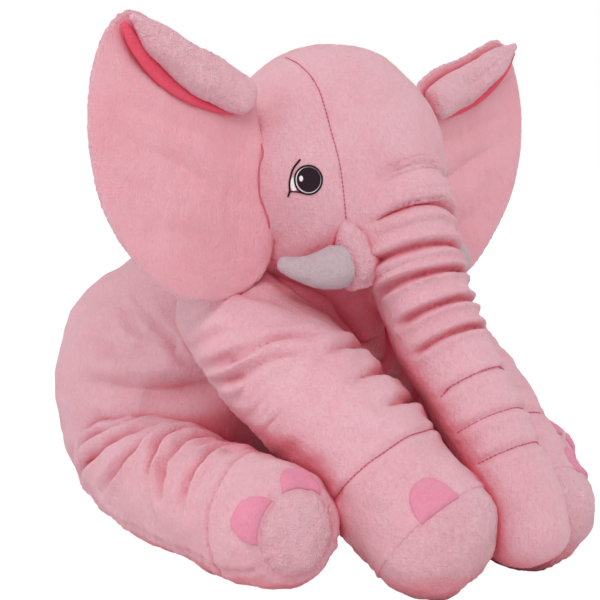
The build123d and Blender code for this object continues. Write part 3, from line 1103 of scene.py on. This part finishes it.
def ear_wadding(front, back, side, body):
    """The pad between the ear's two faces."""
    middle = (front + back) / 2
    shares = slice(0, 76, 5)
    pad_front = (middle + (front - middle) * WADDING_SHARE)[shares]
    pad_back = (middle + (back - middle) * WADDING_SHARE)[shares]
    pad = np.vstack([pad_front, pad_back[::-1]])[:, ::6]
    return make_object(f"{body}_wadding_pad", mirrored(pad, side), grid_faces(*pad.shape[:2]), fibre)
FLAP_ROWS = [
    # across, height, half width in the ear's plane, half thickness
    (246, 471, 5, 5),
    (231, 461, 11, 8),
    (209, 449, 15, 10),
    (188, 437, 17, 11),
    (166, 428, 19, 12),
    (144, 420, 19, 12),
    (130, 414, 17, 12),
]
FLAP_STANDS_OUT = 15.0
FOLD_SHADE_BAND_ROWS = [(252, 465, 3), (240, 451, 7), (215, 430, 7.5), (184, 413, 5.5), (154, 403, 3), (138, 400, 1.8)]


def ring_sheet(name, grid, thickness, side, material):
    """A round sheet of rings, given a back surface and a wall."""
    rows, around = grid.shape[:2]
    behind = grid + np.array([0, thickness, 0])
    faces = grid_faces(rows, around)
    under = [[i + rows * around for i in face[::-1]] for face in faces]
    last = np.arange(around) + (rows - 1) * around
    nexts = np.roll(last, -1)
    wall = np.stack([nexts, last, last + rows * around, nexts + rows * around], axis=-1).tolist()
    points = mirrored(np.vstack([grid.reshape(-1, 3), behind.reshape(-1, 3)]), side)
    return make_object(name, points, faces + under + wall, material)


def closed_rings(name, rings, side):
    """Rings from behind the middle of the face, round the rim to the middle of the back."""
    rows, around = rings.shape[:2]
    centre = rings[0].mean(axis=0, keepdims=True)
    faces = grid_faces(rows, around)
    hub = rows * around
    faces += [[(i + 1) % around, i, hub] for i in range(around)]
    points = mirrored(np.vstack([rings.reshape(-1, 3), centre]), side)
    return make_object(name, points, faces, short_pile)


def ear_flap(sweep):
    """The top edge of the ear, turned forward and stitched down at its ends."""
    rows = [(x, ear_depth(x, z, sweep) - FLAP_STANDS_OUT, z, wide, thick) for x, z, wide, thick in FLAP_ROWS]
    flap = Tube(rows, (0, -1, 0), 6, 12, step=1.6)
    flap.shift += 0.8 * lumps(flap.points, 34, 61) + 0.18 * lumps(flap.points, 5, 62)
    flap.fold([(20, 20), (8, 60), (14, 100)], 1.8, 4)
    flap.settle()
    return flap


def ear_fold_shade_band(sweep):
    """The velour inside the fold, seen as a narrow band under the flap and given a deep pink as painted shade."""
    stands_out = EAR_HALF_THICK + 0.5
    rows = [(x, ear_depth(x, z, sweep) - stands_out, z, wide, 2.6) for x, z, wide in FOLD_SHADE_BAND_ROWS]
    return Tube(rows, (0, -1, 0), 3, 3, step=1.6)
TUSK_ROWS = [
    (70, -295, 273, 14, 16),
    (78, -290, 270, 16.5, 19),
    (88, -284, 268, 15, 17),
    (98, -277, 268, 12, 13),
    (106, -270, 269.5, 9.5, 10),
    (113, -264, 272, 7, 7),
]


def piece_tree(piece):
    """The faces of a piece, for ray casts in metres."""
    return BVHTree.FromPolygons([v.co.copy() for v in piece.data.vertices], [f.vertices[:] for f in piece.data.polygons])
TUSK_COLLAR_ROWS = [
    (60, -283, 308, 4, 5),
    (58, -287, 298, 12, 9),
    (55, -290, 286, 18, 12),
    (52, -292, 271, 21, 14),
    (48, -289, 256, 16, 12),
]


# Tusks, eyes and tail


def build_tusks():
    for side_name, side in SIDES.items():
        tusk = Tube(TUSK_ROWS, (0, 0, 1), 5, 6, step=1.2)
        tusk.shift += 0.5 * lumps(tusk.points, 20, 71) + 0.12 * lumps(tusk.points, 5, 72)
        tusk.settle()
        piece = make_object(f"tusk_{side_name}_plush", mirrored(tusk.points, side), tusk.faces(), tusk_pile)
        finish_piece(piece, "head", (f"tusk_{side_name}",))
        collar = Tube(TUSK_COLLAR_ROWS, (0.45, -0.89, 0), 3, 6, step=1.2)
        collar.shift += 0.6 * lumps(collar.points, 16, 73) + 0.25 * lumps(collar.points, 5, 74)
        collar.settle()
        socket = make_object(f"tusk_{side_name}_gusset", mirrored(collar.points, side), collar.faces(), sole_pile)
        finish_piece(socket, "head", (f"tusk_socket_{side_name}",))
def ear_root_seam_and_shade(tree, side_name, side, face):
    """A dark cord where the ear's face meets the cheek: the seam there, and painted shade where the ear's edge laps
    over the cheek.
    """
    face_tree = piece_tree(face)
    spots = []
    for z in np.linspace(266, 404, 34):
        for x in np.arange(150, 80, -0.5):
            start = Vector((side * x * MM, -0.6, z * MM))
            cheek, normal, _, _ = tree.ray_cast(start, Vector((0, 1, 0)))
            ear = face_tree.ray_cast(start, Vector((0, 1, 0)))[0]
            if cheek is not None and (ear is None or cheek.y < ear.y):
                spots.append((*(np.array(cheek) / MM + 0.1 * np.array(normal)), 0.9, 0.9))
                break
    cord = Tube(spots[::3], (0, -1, 0), 0.8, 0.8, step=1.2)
    piece = make_object(f"ear_{side_name}_root_seam_and_shade", cord.points, cord.faces(), seam_thread)
    finish_piece(piece, "head", ())


EYE_ACROSS = 90.0
EYE_HEIGHT = -3.6
LID_LINE = [(6.9, 16.8), (12.6, 9.4), (15.6, -1), (15.8, -9.6), (17.2, -13.8)]
LOWER_LID = [(15.8, -9.6), (9, -10.2), (2, -11.8)]


class EyeGround:
    """The patch of head round one eye. Places are measured backwards and upwards from its centre."""

    def __init__(self, tree, side):
        self.tree = tree
        centre = head_surface(EYE_ACROSS, EYE_HEIGHT)
        normal = unit((centre - HEAD_CENTRE) / HEAD_RADII**2)
        back = unit(np.cross(np.array([0, 0, 1.0]), normal))
        self.up = mirrored(np.cross(normal, back), side)
        self.back = mirrored(back, side)
        self.normal = mirrored(normal, side)
        self.centre = mirrored(centre + normal * 30, side)

    def spot(self, back, up, lift):
        start = self.centre + self.back * back + self.up * up
        hit, normal, _, _ = self.tree.ray_cast(Vector(start * MM), Vector(-self.normal))
        return np.array(hit) / MM + np.array(normal) * lift

    def disc(self, name, half_back, half_up, shift, lift, material):
        """A stitched oval patch."""
        turn = np.linspace(0, 2 * math.pi, 56, endpoint=False)
        rings = []
        for share in np.linspace(0.03, 1, 8):
            crown = lift * (1 - 0.4 * share**4)
            places = zip(shift[0] + share * half_back * np.cos(turn), shift[1] + share * half_up * np.sin(turn))
            rings.append([self.spot(back, up, crown) for back, up in places])
        top = np.array(rings)
        points = np.vstack([top, (top - self.normal * 2.5)[::-1]])
        around = len(turn)
        last = (len(points) - 1) * around
        caps = [list(range(around)), list(range(last, last + around))]
        return make_object(name, points, grid_faces(*points.shape[:2]) + caps, material)

    def line(self, name, places, radius, material):
        """A line of satin stitch."""
        curve, _ = smooth_rows([(*place, 0) for place in places], 30)
        rows = [(*self.spot(back, up, 0.6), radius, radius * 0.9) for back, up, _ in curve]
        cord = Tube(rows, self.normal, radius, radius, step=0.6)
        return make_object(name, cord.points, cord.faces(), material)


def build_eyes(tree):
    rim = [(11.5 * math.cos(t), 12.0 * math.sin(t)) for t in np.linspace(0, 2 * math.pi, 17)]
    for side_name, side in SIDES.items():
        name = f"eye_{side_name}"
        ground = EyeGround(tree, side)
        parts = [
            ground.disc(f"{name}_white", 11.5, 12.0, (0, 0), 0.5, white_thread),
            ground.disc(f"{name}_corner", 3.0, 6.0, (12.2, -3.6), 0.4, white_thread),
            ground.disc(f"{name}_iris", 10.1, 10.6, (-0.3, 0.2), 1.0, dark_thread),
            ground.disc(f"{name}_glint", 1.7, 2.5, (6.0, 1.2), 1.4, white_thread),
            ground.line(f"{name}_outline", rim, 0.8, dark_thread),
            ground.line(f"{name}_upper_lid", LID_LINE, 0.8, dark_thread),
            ground.line(f"{name}_lower_lid", LOWER_LID, 0.6, dark_thread),
        ]
        for piece in parts:
            finish_piece(piece, "head", (f"eye_{side_name}",))
STITCH_LENGTH = 2.2
STITCH_PITCH = 3.8


def stitches(name, spots, side):
    """A run of small stitches along a line of (point, normal) pairs, sunk a little into the pile."""
    places = np.array([place for place, _ in spots])
    normals = np.array([normal for _, normal in spots])
    along = np.concatenate([[0], np.cumsum(np.linalg.norm(np.diff(places, axis=0), axis=1))])
    points, faces = [], []
    for start in np.arange(STITCH_PITCH, along[-1] - STITCH_PITCH, STITCH_PITCH):
        ends = [
            np.array([np.interp(start + step, along, column) for column in (places + 0.2 * normals).T])
            for step in (0, STITCH_LENGTH)
        ]
        facing = np.array([np.interp(start, along, column) for column in normals.T])
        rows = [(*ends[0], 0.55, 0.45), (*ends[1], 0.55, 0.45)]
        stitch = Tube(rows, facing, 0.4, 0.4, step=0.55)
        stitch_faces = stitch.faces()
        faces += [[index + len(points) for index in face] for face in stitch_faces]
        points += stitch.points.reshape(-1, 3).tolist()
    return make_object(name, mirrored(points, side), faces, seam_thread)


def sew_head(tree):
    """Visible stitches of the forehead seams and of the shallow trunk folds."""
    for side_name, side in SIDES.items():
        curve, _ = smooth_rows(mirrored(HEAD_SEAM, side), 50)
        seam = stitches(f"forehead_seam_{side_name}", on_skin(tree, curve, HEAD_CENTRE), 1)
        finish_piece(seam, "head", ())
    trunk = trunk_tube(step=3)
    for index, (along, spread, sag, _) in enumerate(TRUNK_CREASES[6:]):
        seam = stitches(f"trunk_seam_{index + 1}", trunk_line(tree, trunk, along, spread - 4, sag), 1)
        finish_piece(seam, "trunk_lower", ())


def build_tail():
    root = JOINTS["tail_swing"]
    rows = [root + np.array([0, -16, 6]), root, root + np.array([0, 10, -30]), root + np.array([0, 13, -62])]
    cord = Tube([(*row, 8.5, 8.5) for row in rows], (1, 0, 0), 6, 6, step=1.5)
    cord.shift += 0.4 * lumps(cord.points, 12, 81)
    cord.settle()
    finish_piece(make_object("tail_cord_plush", cord.points, cord.faces(), short_pile), "tail", ("tail_cord",))
    low = root + np.array([0, 14, -60])
    tuft = Tube([(*low, 8, 8), (*(low + np.array([0, 1, -14])), 13, 12), (*(low + np.array([0, 0, -28])), 9, 8)],
                (1, 0, 0), 5, 7, step=1.2)
    tuft.shift += 1.1 * lumps(tuft.points, 5, 82)
    tuft.settle()
    finish_piece(make_object("tail_tuft_plush", tuft.points, tuft.faces(), sole_pile), "tail", ("tail_tuft",))


build_torso()
build_leg("front_leg", front_leg_tube, shape_front_leg, FRONT_TOE_SEAM, 23)
build_leg("rear_leg", rear_leg_tube, shape_rear_leg, REAR_TOE_SEAM, 33)
head_tree = build_head()
sew_head(head_tree)
head_core = ellipsoid_grid(HEAD_CENTRE, HEAD_RADII - 9, 24, 36)
head_filling = make_object("head_filling", *head_core, fibre)
finish_piece(head_filling, "head", ("head_stuffing",))
for part, rows in (("trunk_upper", TRUNK_ROWS[2:5]), ("trunk_lower", TRUNK_ROWS[5:])):
    core = Tube(rows, (0, -1, 0), 8, 8, step=5, grow=-10)
    filling = make_object(f"{part}_filling", core.points, core.faces(), fibre)
    finish_piece(filling, part, (f"{part}_stuffing",))
build_ears(head_tree)
build_tusks()
build_eyes(head_tree)
build_tail()


# Stage

CAMERA_AIM = np.array([-22, -194, 233.0])
CAMERA_DISTANCE = 1500.0
CAMERA_AZIMUTH = math.radians(-46)
CAMERA_ELEVATION = math.radians(5)
CAMERA_LENS = 99.0


def area_light(name, place, aim, size, power, colour=(1, 1, 1)):
    lamp = bpy.data.lights.new(name, "AREA")
    lamp.energy = power
    lamp.size = size
    lamp.color = colour
    holder = bpy.data.objects.new(name, lamp)
    bpy.context.scene.collection.objects.link(holder)
    holder.location = place
    holder.rotation_euler = (Vector(aim) - Vector(place)).to_track_quat("-Z", "Y").to_euler()


def build_stage():
    bpy.context.scene.view_settings.view_transform = "Standard"
    floor_mesh = bpy.data.meshes.new("floor")
    half = 30.0
    floor_mesh.from_pydata([(-half, -half, 0), (half, -half, 0), (half, half, 0), (-half, half, 0)], [], [(0, 1, 2, 3)])
    floor = bpy.data.objects.new("floor", floor_mesh)
    bpy.context.scene.collection.objects.link(floor)
    floor_mesh.materials.append(white_paper())
    build_sky()
    area_light("key", (-1.5, -1.5, 2.1), (0, -0.2, 0.2), 1.5, 33)
    area_light("fill", (1.8, -1.7, 1.0), (0, -0.2, 0.2), 1.6, 9.5)
    area_light("back", (-2.2, 1.0, 1.3), (0, -0.1, 0.2), 1.6, 16)


def white_paper():
    """Matt paper that the camera sees as white but for a soft contact shadow."""
    paper = bpy.data.materials.new("floor_paper")
    paper.use_nodes = True
    nodes, links = paper.node_tree.nodes, paper.node_tree.links
    shader = nodes["Principled BSDF"]
    shader.inputs["Base Color"].default_value = (0.95, 0.95, 0.95, 1)
    shader.inputs["Roughness"].default_value = 0.9
    glow = nodes.new("ShaderNodeEmission")
    glow.inputs["Strength"].default_value = 1.12
    seen = nodes.new("ShaderNodeLightPath")
    share = nodes.new("ShaderNodeMath")
    share.operation = "MULTIPLY"
    share.inputs[1].default_value = PAPER_GLOW
    links.new(seen.outputs["Is Camera Ray"], share.inputs[0])
    both = nodes.new("ShaderNodeMixShader")
    links.new(share.outputs[0], both.inputs["Fac"])
    links.new(shader.outputs[0], both.inputs[1])
    links.new(glow.outputs[0], both.inputs[2])
    links.new(both.outputs[0], nodes["Material Output"].inputs["Surface"])
    return paper
PAPER_GLOW = 0.9


def build_sky():
    """A soft even light, seen by the camera as white paper."""
    world = bpy.data.worlds.new("studio")
    bpy.context.scene.world = world
    world.use_nodes = True
    nodes, links = world.node_tree.nodes, world.node_tree.links
    sky = nodes["Background"]
    sky.inputs["Color"].default_value = (1, 1, 1, 1)
    sky.inputs["Strength"].default_value = SKY_LIGHT
    paper = nodes.new("ShaderNodeBackground")
    paper.inputs["Color"].default_value = (1, 1, 1, 1)
    seen = nodes.new("ShaderNodeLightPath")
    either = nodes.new("ShaderNodeMixShader")
    links.new(seen.outputs["Is Camera Ray"], either.inputs["Fac"])
    links.new(sky.outputs["Background"], either.inputs[1])
    links.new(paper.outputs["Background"], either.inputs[2])
    links.new(either.outputs["Shader"], nodes["World Output"].inputs["Surface"])
SKY_LIGHT = 0.6


def build_camera():
    camera = bpy.data.cameras.new("camera")
    camera.lens = CAMERA_LENS
    camera.sensor_width = 36.0
    holder = bpy.data.objects.new("camera", camera)
    bpy.context.scene.collection.objects.link(holder)
    back = Vector((
        math.sin(CAMERA_AZIMUTH) * math.cos(CAMERA_ELEVATION),
        -math.cos(CAMERA_AZIMUTH) * math.cos(CAMERA_ELEVATION),
        math.sin(CAMERA_ELEVATION),
    ))
    holder.location = Vector(CAMERA_AIM * MM) + back * (CAMERA_DISTANCE * MM)
    holder.rotation_euler = (-back).to_track_quat("-Z", "Y").to_euler()
    bpy.context.scene.camera = holder


build_stage()
build_camera()
